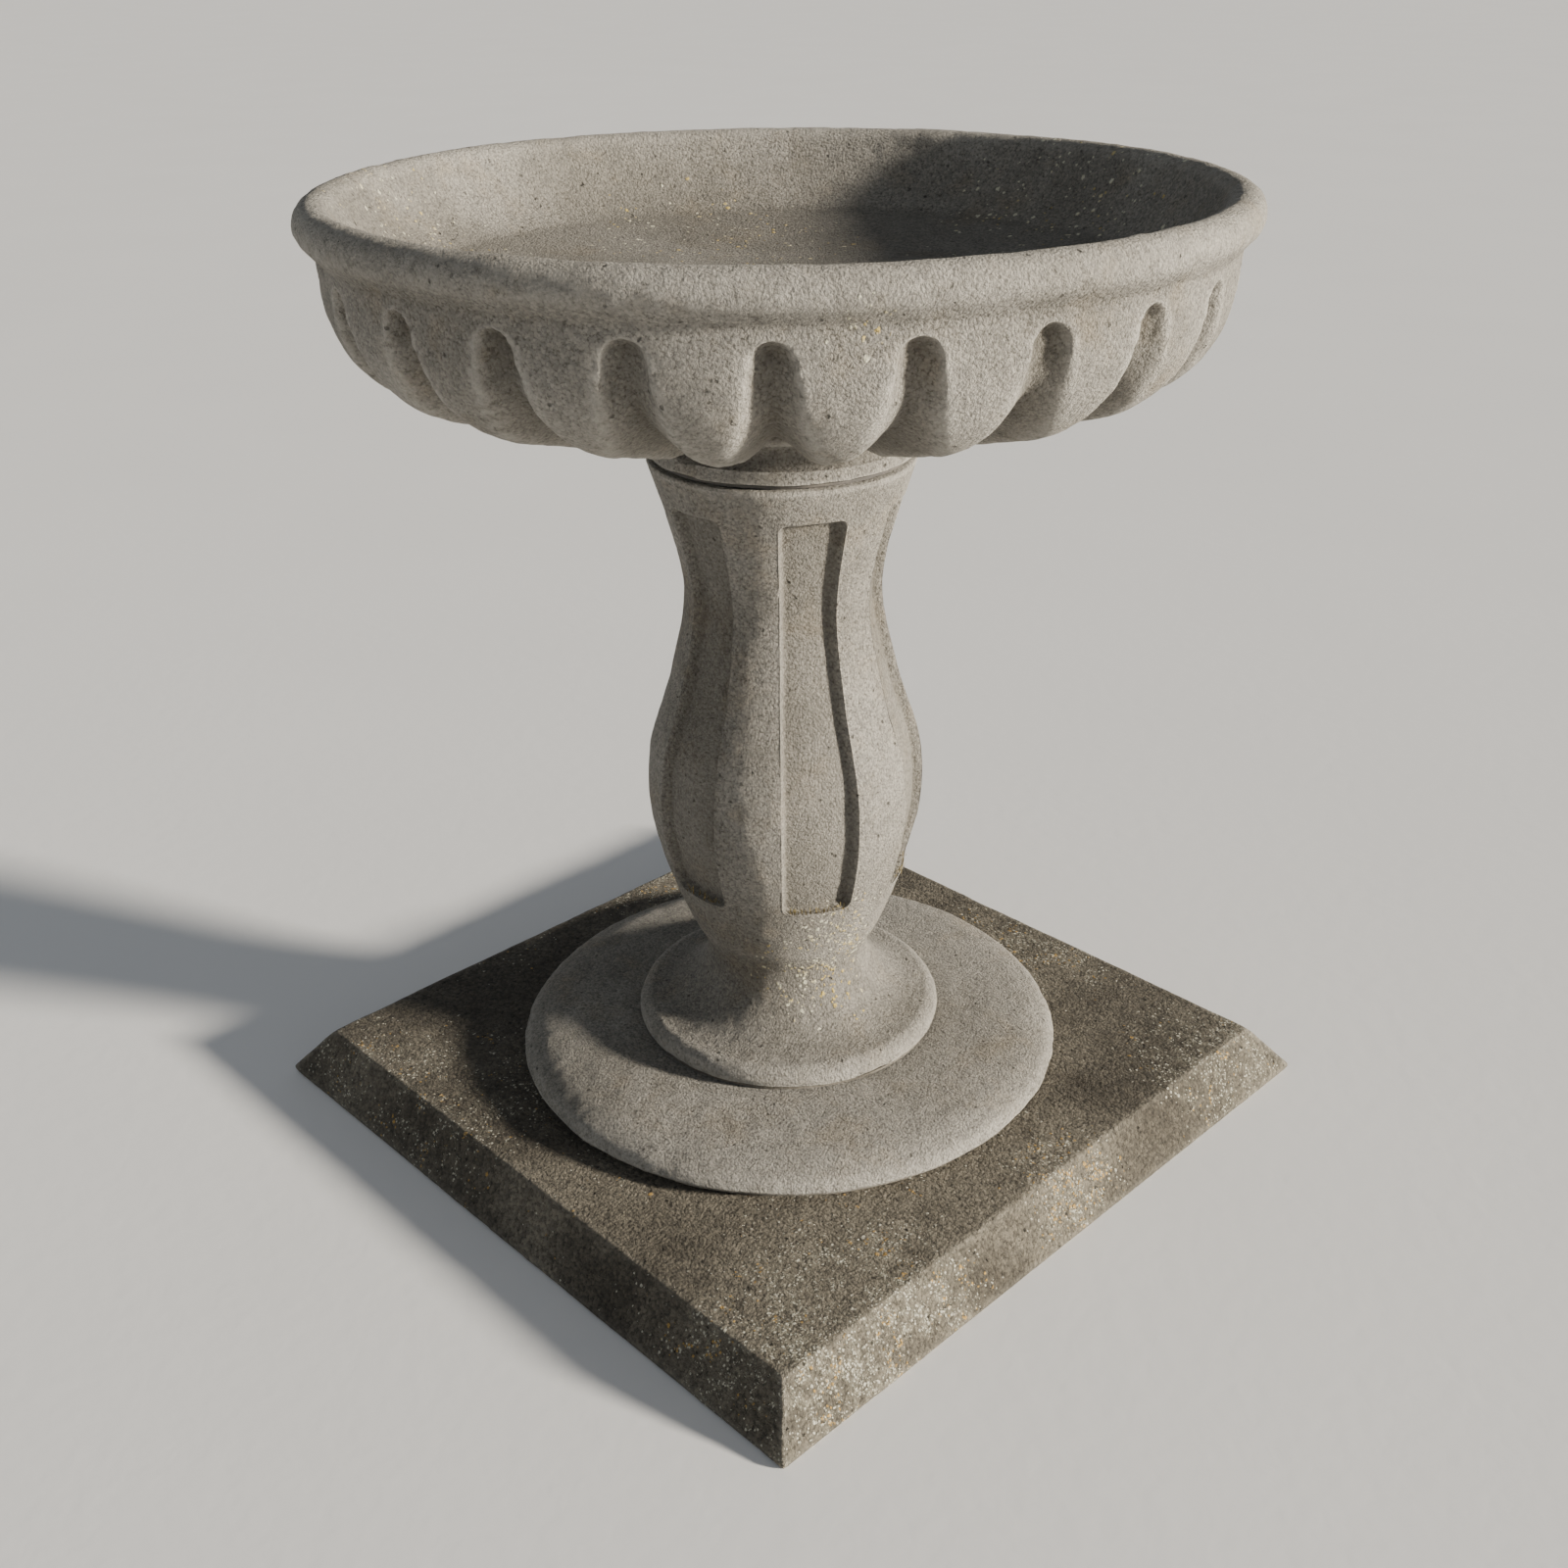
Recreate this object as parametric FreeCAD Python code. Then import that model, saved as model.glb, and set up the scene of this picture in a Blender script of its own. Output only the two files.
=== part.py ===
import FreeCAD, Part
import math
import os

# Cast-stone bird bath: square plinth slab, round base, panelled baluster column and fluted bowl.
# Millimetres, +Z up, origin on the ground at the centre of the slab's underside.
# Angles are in degrees from +X. The slab's sides are parallel to X and Y.

# --- driving dimensions: castings ---------------------------------------------------------
SLAB_SIDE = 531.2            # slab's underside, side of the square
SLAB_TOP_SIDE = 481.8
SLAB_HEIGHT = 37.7
SLAB_LIP = 5.0               # upright edge under the sloping faces
SLAB_EDGE_R = 1.6
BASE_R = 196.0               # round base, at its widest
BASE_SEAT_R = 188.0          # round base, flat underside
BASE_TOP = 62.5
FOOT_R = 110.2               # column foot, at its widest
FOOT_SEAT_R = 109.2          # column foot, flat underside
FOOT_Z = 64.0                # column underside
TOE_R = 11.6                 # section of the foot's rounded edge
TOE_CENTRE_R = 98.6
TOE_CENTRE_Z = 67.8
COLUMN_TOP = 478.0
LIP_R = 86.3                 # column's top lip
LIP_LOW = 474.5
LIP_SEAT_R = 82.8            # flat top of the column
PANEL_COUNT = 6
PANEL_FIRST_ANGLE = 30.0
PANEL_HALF_ANGLE = 15.0
PANEL_LOW = 187.0
PANEL_HIGH = 452.0
PANEL_DEPTH = 7.0
PANEL_CORNER_R = 4.0
BOWL_FOOT_R = 85.5           # ring under the bowl
BOWL_FOOT_TOP = 489.5
BOWL_FOOT_EDGE_R = 1.0
ROLL_R = 13.2                # section of the rolled rim
ROLL_CENTRE_R = 267.1
ROLL_CENTRE_Z = 627.6
ROLL_START = -42.0           # where the roll leaves the crease under it
ROLL_END = 150.0             # where it runs into the dish
FLUTE_COUNT = 24
FLUTE_TOP_R = 9.5            # half width of a flute at its top end
FLUTE_TIP_R = 9.7            # ball that rounds a flute's top end, a little wider so that it crosses the sides
FLUTE_LOW_R = 16.0           # half width of a flute where it runs out under the bowl
FLUTE_LIFT = 0.14            # how far a flute's centre line stands off the side, in flute radii
FLUTE_WIDENING = 1.25        # how soon a flute reaches its full width
FLUTE_STATIONS = (0.073, 0.2, 0.37, 0.54, 0.7, 0.85, 1.02)

# --- driving dimensions: joints between the castings ---------------------------------------
BED = 1.5                    # mortar beds
BASE_BED_R = 187.5
COLUMN_BED_R = 107.0
PAD = 1.6                    # rubber ring between column and bowl
PAD_OUTER_R = 82.0
PAD_INNER_R = 14.0
DOWEL_R = 8.0
DOWEL_HOLE_R = 11.0
FOOT_DOWEL_LOW = 12.0
FOOT_DOWEL_HIGH = 142.0
HEAD_DOWEL_LOW = 398.0
HEAD_DOWEL_HIGH = 538.0
BUSH_CLEARANCE = 0.08        # running fit of the bowl on its dowel
SOCKET_TOP = 545.0

# --- driving dimensions: reinforcement ------------------------------------------------------
THIN_BAR_R = 3.0
THICK_BAR_R = 4.0
BAR_STEP = 2 * THIN_BAR_R + 0.5      # between the layers of crossing bars
SLAB_BAR_OFFSETS = (-180.0, -60.0, 60.0, 180.0)
SLAB_BAR_LENGTH = 420.0
SLAB_BAR_Z = 13.0
BASE_HOOP_R = 140.0
COLUMN_BAR_CIRCLE_R = 38.0
COLUMN_BAR_COUNT = 4
COLUMN_BAR_LOW = 90.0
COLUMN_BAR_HIGH = 460.0
COLUMN_TIE_CIRCLE_R = 45.5
COLUMN_TIE_LEVELS = (110.0, 190.0, 270.0, 350.0, 430.0)
RIM_HOOP_R = 252.0
RIM_HOOP_Z = 606.0
LOWER_HOOP_R = 150.0
LOWER_HOOP_Z = 540.0
BOWL_BAR_OFFSETS = (-60.0, 60.0)
BOWL_BAR_LENGTH = 380.0
BOWL_BAR_Z = 551.0

BOWL_Z = COLUMN_TOP + PAD
BASE_Z = SLAB_HEIGHT + BED
UP = FreeCAD.Vector(0, 0, 1)
CENTRE = FreeCAD.Vector(0, 0, 0)

# Outlines, as (radius, height). The smooth stretches are splines through a few points.
BASE_EDGE = [(BASE_SEAT_R, BASE_Z), (193.8, 41.6), (BASE_R, 45.5)]
BASE_SHOULDER = [(BASE_R, 45.5), (192.6, 51.0), (182.0, 56.5), (160.0, 60.5), (125.0, BASE_TOP)]
FLARE = [(TOE_CENTRE_R, TOE_CENTRE_Z + TOE_R), (88.0, 81.6), (74.0, 89.0), (63.5, 101.5), (58.6, 119.0),
         (69.0, 144.0), (84.0, 185.0), (94.9, 235.0), (93.9, 270.0), (76.4, 330.0), (65.6, 390.0),
         (75.6, 440.0), (LIP_R, LIP_LOW)]
LIP = [(LIP_R, LIP_LOW), (85.4, 477.1), (LIP_SEAT_R, COLUMN_TOP)]
FLUTED_SIDE = [(92.0, 506.0), (130.0, 507.5), (170.0, 516.5), (207.0, 526.5), (225.0, 532.2),
               (241.4, 541.0), (252.6, 550.8), (263.0, 566.5), (267.7, 582.0), (269.4, 603.0),
               (270.0, 611.3)]
FOOT_COVE = [(BOWL_FOOT_R - BOWL_FOOT_EDGE_R, BOWL_FOOT_TOP), (80.5, 492.5), (80.5, 499.5), FLUTED_SIDE[0]]
DISH = [(250.2, 624.5), (243.0, 612.0), (233.0, 600.5), (217.0, 590.5), (180.0, 583.6), (100.0, 578.6),
        (0.0, 577.0)]


# --- geometry helpers ------------------------------------------------------------------------
def point(r, z):
    """A point of an outline in the XZ plane."""
    return FreeCAD.Vector(r, 0, z)


def lines(*corners):
    """Straight edges through (radius, height) corners."""
    points = [point(*corner) for corner in corners]
    return [Part.LineSegment(a, b).toShape() for a, b in zip(points, points[1:])]


def spline(corners):
    """One smooth edge through (radius, height) points."""
    curve = Part.BSplineCurve()
    curve.interpolate([point(*corner) for corner in corners])
    return [curve.toShape()]


def on_circle(centre_r, centre_z, radius, angle):
    """The (radius, height) of a point on a circle in the XZ plane."""
    turn = math.radians(angle)
    return (centre_r + radius * math.cos(turn), centre_z + radius * math.sin(turn))


def bow(corners):
    """A circular edge through three (radius, height) points."""
    return [Part.Arc(*[point(*corner) for corner in corners]).toShape()]


def arc(centre_r, centre_z, radius, start, end):
    """A circular edge about a centre, between two angles."""
    return bow([on_circle(centre_r, centre_z, radius, a) for a in (start, (start + end) / 2, end)])


def revolve(edges, sweep=360.0):
    """A solid of revolution about Z from the edges of a closed outline, in order."""
    face = Part.Face(Part.Wire(edges))
    return face.revolve(CENTRE, UP, sweep)


def rod(radius, low, high, x=0.0, y=0.0):
    """An upright round bar."""
    return Part.makeCylinder(radius, high - low, FreeCAD.Vector(x, y, low), UP)


def tube(outer, inner, low, high):
    """An upright sleeve or ring on the Z axis."""
    return rod(outer, low, high).cut(rod(inner, low, high))


def hoop(circle_radius, bar_radius, z):
    """A bar bent into a level ring about Z."""
    return Part.makeTorus(circle_radius, bar_radius, FreeCAD.Vector(0, 0, z), UP)


def level_bars(offsets, length, radius, z, along_x):
    """Parallel level bars, centred on Z."""
    bars = []
    for offset in offsets:
        if along_x:
            start, direction = FreeCAD.Vector(-length / 2, offset, z), FreeCAD.Vector(1, 0, 0)
        else:
            start, direction = FreeCAD.Vector(offset, -length / 2, z), FreeCAD.Vector(0, 1, 0)
        bars.append(Part.makeCylinder(radius, length, start, direction))
    return bars


def turned(shape, angle):
    """A copy of a shape, turned about Z."""
    copy = shape.copy()
    copy.rotate(CENTRE, UP, angle)
    return copy


def export(name, shape):
    """Write one node, a single solid or a group of separate ones."""
    if isinstance(shape, list):
        shape = shape[0] if len(shape) == 1 else Part.makeCompound(shape)
    shape.exportStep("parts/" + name + ".step")
    print(name, len(shape.Solids), "solids", round(shape.Volume / 1000.0, 1), "cm3", shape.isValid())


# --- reinforcement ----------------------------------------------------------------------------
def slab_long_bars():
    return level_bars(SLAB_BAR_OFFSETS, SLAB_BAR_LENGTH, THIN_BAR_R, SLAB_BAR_Z, True)


def slab_cross_bars():
    return level_bars(SLAB_BAR_OFFSETS, SLAB_BAR_LENGTH, THIN_BAR_R, SLAB_BAR_Z + BAR_STEP, False)


def round_base_hoop():
    return [hoop(BASE_HOOP_R, THIN_BAR_R, (BASE_Z + BASE_TOP) / 2)]


def column_bars():
    bars = []
    for k in range(COLUMN_BAR_COUNT):
        turn = 2 * math.pi * k / COLUMN_BAR_COUNT
        x = COLUMN_BAR_CIRCLE_R * math.cos(turn)
        y = COLUMN_BAR_CIRCLE_R * math.sin(turn)
        bars.append(rod(THICK_BAR_R, COLUMN_BAR_LOW, COLUMN_BAR_HIGH, x, y))
    return bars


def column_ties():
    return [hoop(COLUMN_TIE_CIRCLE_R, THIN_BAR_R, level) for level in COLUMN_TIE_LEVELS]


def bowl_rim_hoop():
    return [hoop(RIM_HOOP_R, THICK_BAR_R, RIM_HOOP_Z)]


def bowl_lower_hoop():
    return [hoop(LOWER_HOOP_R, THICK_BAR_R, LOWER_HOOP_Z)]


def bowl_long_bars():
    return level_bars(BOWL_BAR_OFFSETS, BOWL_BAR_LENGTH, THIN_BAR_R, BOWL_BAR_Z, True)


def bowl_cross_bars():
    return level_bars(BOWL_BAR_OFFSETS, BOWL_BAR_LENGTH, THIN_BAR_R, BOWL_BAR_Z + BAR_STEP, False)


# --- castings ---------------------------------------------------------------------------------
def square_wire(side, z):
    h = side / 2
    corners = [(-h, -h), (h, -h), (h, h), (-h, h), (-h, -h)]
    return Part.makePolygon([FreeCAD.Vector(x, y, z) for x, y in corners])


def plinth_slab():
    """Square slab: a low upright lip under four faces that slope in to the top."""
    lip = Part.makeBox(SLAB_SIDE, SLAB_SIDE, SLAB_LIP, FreeCAD.Vector(-SLAB_SIDE / 2, -SLAB_SIDE / 2, 0))
    slopes = Part.makeLoft([square_wire(SLAB_SIDE, SLAB_LIP), square_wire(SLAB_TOP_SIDE, SLAB_HEIGHT)],
                           True, True)
    slab = lip.fuse(slopes).removeSplitter()
    slab = slab.makeFillet(SLAB_EDGE_R, slab.Edges)
    slab = slab.cut(rod(DOWEL_HOLE_R, FOOT_DOWEL_LOW, SLAB_HEIGHT + 1))
    return slab.cut(slab_long_bars() + slab_cross_bars())


def round_base():
    """Low cushion-edged disc with a through hole for the foot dowel."""
    edges = lines((0, BASE_TOP), (0, BASE_Z), (BASE_SEAT_R, BASE_Z))
    edges += bow(BASE_EDGE)
    edges += spline(BASE_SHOULDER)
    edges += lines(BASE_SHOULDER[-1], (0, BASE_TOP))
    disc = revolve(edges)
    disc = disc.cut(rod(DOWEL_HOLE_R, BASE_Z - 1, BASE_TOP + 1))
    return disc.cut(round_base_hoop())


def column_outline(inset):
    """The column's side from the foot to the lip, moved in by inset."""
    return [(r - inset, z) for r, z in FLARE]


def panel_cutter(angle):
    """What one recessed panel takes away: a round-cornered wedge outside the recessed face."""
    reach = 2 * FOOT_R
    half_width = reach * math.tan(math.radians(PANEL_HALF_ANGLE))
    corners = [(0, 0), (reach, -half_width), (reach, half_width), (0, 0)]
    plan = Part.makePolygon([FreeCAD.Vector(x, y, PANEL_LOW) for x, y in corners])
    wedge = Part.Face(plan).extrude(FreeCAD.Vector(0, 0, PANEL_HIGH - PANEL_LOW))
    rims = [e for e in wedge.Edges if abs(abs(e.CenterOfMass.y) - half_width / 2) < 1e-3]
    wedge = wedge.makeFillet(PANEL_CORNER_R, rims)
    inner = column_outline(PANEL_DEPTH)
    low, high = inner[0], inner[-1]
    core = revolve(spline(inner) + lines(high, (0, high[1]), (0, low[1]), low))
    return turned(wedge.cut(core), angle)


def column():
    """Baluster with a flared foot, six recessed panels and a rounded top lip."""
    edges = lines((0, FOOT_Z), (FOOT_SEAT_R, FOOT_Z), (FOOT_R, TOE_CENTRE_Z))
    edges += arc(TOE_CENTRE_R, TOE_CENTRE_Z, TOE_R, 0.0, 90.0)
    edges += spline(FLARE)
    edges += bow(LIP)
    edges += lines(LIP[-1], (0, COLUMN_TOP), (0, FOOT_Z))
    body = revolve(edges)
    panels = []
    for k in range(PANEL_COUNT):
        panels.append(panel_cutter(PANEL_FIRST_ANGLE + 360.0 * k / PANEL_COUNT))
    body = body.cut(panels)
    body = body.cut(rod(DOWEL_HOLE_R, FOOT_Z - 1, FOOT_DOWEL_HIGH))
    body = body.cut(rod(DOWEL_HOLE_R, HEAD_DOWEL_LOW, COLUMN_TOP + 1))
    return body.cut(column_bars() + column_ties())


def flute_cutters():
    """One flute: a tapering round tool along the bowl's side, with a ball at its top end."""
    curve = spline(FLUTED_SIDE)[0].Curve
    first, last = curve.FirstParameter, curve.LastParameter
    sections = []
    for station in FLUTE_STATIONS:
        parameter = last + (first - last) * station
        along = FreeCAD.Vector(*curve.tangent(parameter)[0])
        widening = min(1.0, FLUTE_WIDENING * (station - FLUTE_STATIONS[0]))
        radius = FLUTE_TOP_R + (FLUTE_LOW_R - FLUTE_TOP_R) * widening
        outward = FreeCAD.Vector(along.z, 0, -along.x)
        centre = curve.value(parameter) + outward * (FLUTE_LIFT * radius)
        sections.append(Part.Circle(centre, along, radius))
    wires = [Part.Wire(section.toShape()) for section in sections]
    ball = Part.makeSphere(FLUTE_TIP_R, sections[0].Center)
    return [Part.makeLoft(wires, True, False), ball]


def bowl_outline():
    """Half section: socket, foot ring, cove, fluted side, rolled rim and shallow dish."""
    roll = (ROLL_CENTRE_R, ROLL_CENTRE_Z, ROLL_R)
    ring_r = BOWL_FOOT_R - BOWL_FOOT_EDGE_R
    ring_low, ring_high = BOWL_Z + BOWL_FOOT_EDGE_R, BOWL_FOOT_TOP - BOWL_FOOT_EDGE_R
    edges = lines((0, SOCKET_TOP), (DOWEL_HOLE_R, SOCKET_TOP), (DOWEL_HOLE_R, BOWL_Z), (ring_r, BOWL_Z))
    edges += arc(ring_r, ring_low, BOWL_FOOT_EDGE_R, -90.0, 0.0)
    edges += lines((BOWL_FOOT_R, ring_low), (BOWL_FOOT_R, ring_high))
    edges += arc(ring_r, ring_high, BOWL_FOOT_EDGE_R, 0.0, 90.0)
    edges += spline(FOOT_COVE)
    edges += spline(FLUTED_SIDE)
    edges += lines(FLUTED_SIDE[-1], on_circle(*roll, ROLL_START))
    edges += arc(*roll, ROLL_START, ROLL_END)
    edges += spline([on_circle(*roll, ROLL_END)] + DISH)
    edges += lines(DISH[-1], (0, SOCKET_TOP))
    return edges


def is_cut_plane(face):
    """Whether a face lies in a plane through the Z axis, where two sectors meet."""
    if not isinstance(face.Surface, Part.Plane):
        return False
    normal = face.normalAt(0, 0)
    return abs(normal.z) < 1e-6 and abs(normal.dot(face.CenterOfMass)) < 1e-3


def bowl():
    """One sector with one flute, repeated round the axis and sewn into a single solid."""
    step = 360.0 / FLUTE_COUNT
    sector = turned(revolve(bowl_outline(), step), -step / 2)
    for tool in flute_cutters():
        sector = sector.cut(tool)
    skin = [face for face in sector.Faces if not is_cut_plane(face)]
    faces = []
    for k in range(FLUTE_COUNT):
        faces += [turned(face, k * step) for face in skin]
    shell = Part.makeShell(faces)
    shell.sewShape()
    body = Part.Solid(shell)
    if body.Volume < 0:
        body.reverse()
    return body.cut(bowl_rim_hoop() + bowl_lower_hoop() + bowl_long_bars() + bowl_cross_bars())


# --- write every node ---------------------------------------------------------------------------
export("plinth_slab", plinth_slab())
export("slab_long_bars", slab_long_bars())
export("slab_cross_bars", slab_cross_bars())
export("base_bed", tube(BASE_BED_R, DOWEL_HOLE_R, SLAB_HEIGHT, BASE_Z))
export("round_base", round_base())
export("round_base_hoop", round_base_hoop())
export("column_bed", tube(COLUMN_BED_R, DOWEL_HOLE_R, BASE_TOP, FOOT_Z))
export("column", column())
export("column_bars", column_bars())
export("column_ties", column_ties())
export("foot_dowel", rod(DOWEL_R, FOOT_DOWEL_LOW, FOOT_DOWEL_HIGH))
export("foot_dowel_grout", tube(DOWEL_HOLE_R, DOWEL_R, FOOT_DOWEL_LOW, FOOT_DOWEL_HIGH))
export("head_dowel", rod(DOWEL_R, HEAD_DOWEL_LOW, HEAD_DOWEL_HIGH))
export("head_dowel_grout", tube(DOWEL_HOLE_R, DOWEL_R, HEAD_DOWEL_LOW, COLUMN_TOP))
export("bowl_pad", tube(PAD_OUTER_R, PAD_INNER_R, COLUMN_TOP, BOWL_Z))
export("bowl_bush", tube(DOWEL_HOLE_R, DOWEL_R + BUSH_CLEARANCE, BOWL_Z, SOCKET_TOP))
export("bowl", bowl())
export("bowl_rim_hoop", bowl_rim_hoop())
export("bowl_lower_hoop", bowl_lower_hoop())
export("bowl_long_bars", bowl_long_bars())
export("bowl_cross_bars", bowl_cross_bars())
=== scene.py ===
import math

import bpy
import numpy as np
from mathutils import Matrix, Vector


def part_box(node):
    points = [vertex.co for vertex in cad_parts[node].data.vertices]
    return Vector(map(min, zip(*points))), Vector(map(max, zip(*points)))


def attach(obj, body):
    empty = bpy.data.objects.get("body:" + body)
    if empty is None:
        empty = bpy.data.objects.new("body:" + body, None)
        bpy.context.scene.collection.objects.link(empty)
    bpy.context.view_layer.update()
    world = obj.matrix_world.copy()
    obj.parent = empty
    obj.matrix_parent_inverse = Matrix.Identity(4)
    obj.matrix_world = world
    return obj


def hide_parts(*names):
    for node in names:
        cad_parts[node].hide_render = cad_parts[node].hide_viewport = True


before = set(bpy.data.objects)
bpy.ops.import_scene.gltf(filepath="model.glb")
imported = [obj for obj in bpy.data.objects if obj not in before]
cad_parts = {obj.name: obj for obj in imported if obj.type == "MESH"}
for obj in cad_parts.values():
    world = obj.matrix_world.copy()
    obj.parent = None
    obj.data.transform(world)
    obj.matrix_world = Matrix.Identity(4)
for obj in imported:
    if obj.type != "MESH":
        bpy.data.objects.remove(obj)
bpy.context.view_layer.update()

# Cast-stone bird bath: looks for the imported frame. Metres, +Z up, the frame's own origin.
# Outlines are (radius, height) in millimetres, and MM turns them into metres.
MM = 0.001

# --- places taken from the frame ----------------------------------------------------------------
SLAB_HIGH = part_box("plinth_slab")[1]
BASE_LOW, BASE_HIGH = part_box("round_base")
COLUMN_LOW, COLUMN_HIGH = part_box("column")
BOWL_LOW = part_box("bowl")[0]
FOOT_DOWEL_LOW, FOOT_DOWEL_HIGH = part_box("foot_dowel")
HEAD_DOWEL_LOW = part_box("head_dowel")[0]
BUSH_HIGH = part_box("bowl_bush")[1]
SOCKET_R = BUSH_HIGH.x / MM          # every casting's hole on the axis has this radius
SOCKET_TOP = BUSH_HIGH.z / MM

# --- outlines -----------------------------------------------------------------------------------
SLAB_TOP_HALF = 240.9                # half the width of the slab's flat top
SLAB_LIP = 5.0                       # height of the slab's upright edge
SLAB_ANGLES = 800
BASE_SEAT_R = 188.0
BASE_EDGE = (193.8, 41.6)            # halfway round the edge under the shoulder
BASE_SHOULDER = [(196.0, 45.5), (192.6, 51.0), (182.0, 56.5), (160.0, 60.5), (125.0, 62.5)]
BASE_ANGLES = 640
FOOT_SEAT_R = 109.2
TOE_R = 110.2
TOE = (98.6, 67.8, 11.6)             # centre radius, centre height, section radius
FLARE = [(98.6, 79.4), (88.0, 81.6), (74.0, 89.0), (63.5, 101.5), (58.6, 119.0), (69.0, 144.0),
         (84.0, 185.0), (94.9, 235.0), (93.9, 270.0), (76.4, 330.0), (65.6, 390.0), (75.6, 440.0),
         (86.3, 474.5)]
LIP_EDGE = (85.4, 477.1)
LIP_TOP_R = 82.8
FOOT_RING_R = 85.5
FOOT_RING_TOP = 489.5
FOOT_RING_ROUND = 1                  # radius of the foot ring's edges
COVE = [(80.5, 492.5), (80.5, 499.5)]
FLUTED_SIDE = [(92.0, 506.0), (130.0, 507.5), (170.0, 516.5), (207.0, 526.5), (225.0, 532.2),
               (241.4, 541.0), (252.6, 550.8), (263.0, 566.5), (267.7, 582.0), (269.4, 603.0), (270.0, 611.3)]
ROLL = (267.1, 627.6, 13.2)          # centre radius, centre height, section radius
ROLL_START = -42                     # degrees, where the roll leaves the crease under it
ROLL_END = 150                       # degrees, where it runs into the dish
DISH = [(250.2, 624.5), (243.0, 612.0), (233.0, 600.5), (217.0, 590.5), (180.0, 583.6), (100.0, 578.6),
        (0.0, 577.0)]
DISH_WALL_POINTS = 4                 # the rest of DISH is its floor

# --- fluting ------------------------------------------------------------------------------------
FLUTES = 24
SECTOR = 2 * math.pi / FLUTES
ANGLES_PER_FLUTE = 26
TIP_DROP = 7.0                       # from the crease under the roll down to the flutes' tips
TIP_R = 8.8                          # radius of a flute's round end, and half its width there
FLUTE_SPREAD = 0.17                  # half width gained for each mm down
TIP_DEPTH = 9.5
FLUTE_DEEPENING = 0.05               # depth gained for each mm down
FLUTE_DEPTH = 13.4                   # at the deepest
SCOOP_POWER = 2.6                    # the hollow's section near the tips: 2 is a parabola, more is boxier
VALLEY_SOFTNESS = 0.02
VALLEY_SCALE = 1.73                  # brings the soft valley's depth to 1 in the middle of a flute
VALLEY_BELOW = (12, 50)              # mm below the tips where the hollow turns into a valley
CROWN = 2.8                          # how much the ribs bulge above the flutes' edges, low down
CROWN_BELOW = (10, 90)
RUN_OUT_RADII = (158, 118)           # the ribs end between these, and the cove begins
COVE_RADII = (84, 100)               # the cove's depth fades between these
FLUTE_HEIGHTS = [506, 530, 545, 575, 588, 606]        # where the side's points are FLUTE_STEPS apart
FLUTE_STEPS = [4.6, 4.0, 2.9, 2.4, 1.25, 1.25]

# --- panels and the growth under them -----------------------------------------------------------
PANELS = 6
PANEL_SECTOR = 2 * math.pi / PANELS
PANEL_FIRST = math.radians(30)
PANEL_HALF_ANGLE = math.radians(15)
PANEL_LOW = 187.0
PANEL_HIGH = 452.0
PANEL_DEPTH = 7.0
PANEL_CORNER_R = 4.0
PANEL_WALL = (-1.5, 2.2)             # the panels' walls slope between these distances inside their outline
PANEL_HEIGHTS = [PANEL_LOW - 5, PANEL_LOW - 3, PANEL_LOW + 6, PANEL_LOW + 9,     # likewise PANEL_STEPS
                 PANEL_HIGH - 9, PANEL_HIGH - 6, PANEL_HIGH + 3, PANEL_HIGH + 5]
PANEL_STEPS = [2.9, 0.55, 0.55, 2.9, 2.9, 0.55, 0.55, 2.6]
MOSS_BLADES = (10, 26)               # fewest and most on one panel
MOSS_RING = (80.0, 84.0)             # radius where the blades stand
MOSS_HEIGHT = (1.5, 6.0)
MOSS_WIDTH = (0.25, 0.5)

# --- wear, in metres ----------------------------------------------------------------------------
SURFACE = [(0.16, 0.0011, 1), (0.045, 0.0007, 2), (0.013, 0.0005, 3), (0.006, 0.0004, 4)]
ROUGH_SURFACE = [(0.16, 0.0006, 11), (0.05, 0.0004, 12), (0.016, 0.0003, 13), (0.007, 0.0004, 14)]
EDGE_ROUNDS = 6                      # rounds of smoothing that find the edges
HOLLOW_ROUNDS = 40                   # and those that find the hollows
EDGE_DEPTH = 0.0006                  # how far a wholly worn edge stands out
CHIP_DEPTH = 0.0006
CHIP_SIZE = 0.022
CHIP_SEED = 31
GROUND = 0.00001                     # points below this height stay on the ground

# --- camera -------------------------------------------------------------------------------------
CAMERA_PLACE = (0.7603, -0.7360, 0.7832)
CAMERA_TURN = 46                     # degrees about +Z, from looking along +Y
CAMERA_DOWN = 27.094                 # degrees below the horizon
CAMERA_ROLL = -0.7306                # degrees
CAMERA_LENS = 39.5                   # mm


# --- noise --------------------------------------------------------------------------------------
def value_noise(points, size, seed):
    """Smooth noise from -1 to 1 at each point, with features about size metres across."""
    cells = 32
    table = np.random.default_rng(seed).uniform(-1, 1, (cells, cells, cells))
    place = points / size + 1000.0
    corner = np.floor(place).astype(int)
    part = place - corner
    part = part * part * part * (part * (part * 6 - 15) + 10)
    total = np.zeros(len(points))
    for dx in (0, 1):
        for dy in (0, 1):
            for dz in (0, 1):
                at = (corner + (dx, dy, dz)) % cells
                weight = np.where((dx, dy, dz), part, 1 - part).prod(axis=1)
                total += weight * table[at[:, 0], at[:, 1], at[:, 2]]
    return total


def smoothstep(low, high, x):
    """0 at low, 1 at high, smooth between."""
    t = np.clip((x - low) / (high - low), 0, 1)
    return t * t * (3 - 2 * t)


# --- outlines made finer ------------------------------------------------------------------------
def length_along(path):
    return np.concatenate([[0], np.cumsum(np.linalg.norm(np.diff(path, axis=0), axis=1))])


def respace(path, step):
    """The same path with points evenly spaced, about step apart."""
    path = np.array(path, float)
    along = length_along(path)
    even = np.linspace(0, along[-1], max(1, int(round(along[-1] / step))) + 1)
    return np.stack([np.interp(even, along, path[:, i]) for i in (0, 1)], 1)


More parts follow.
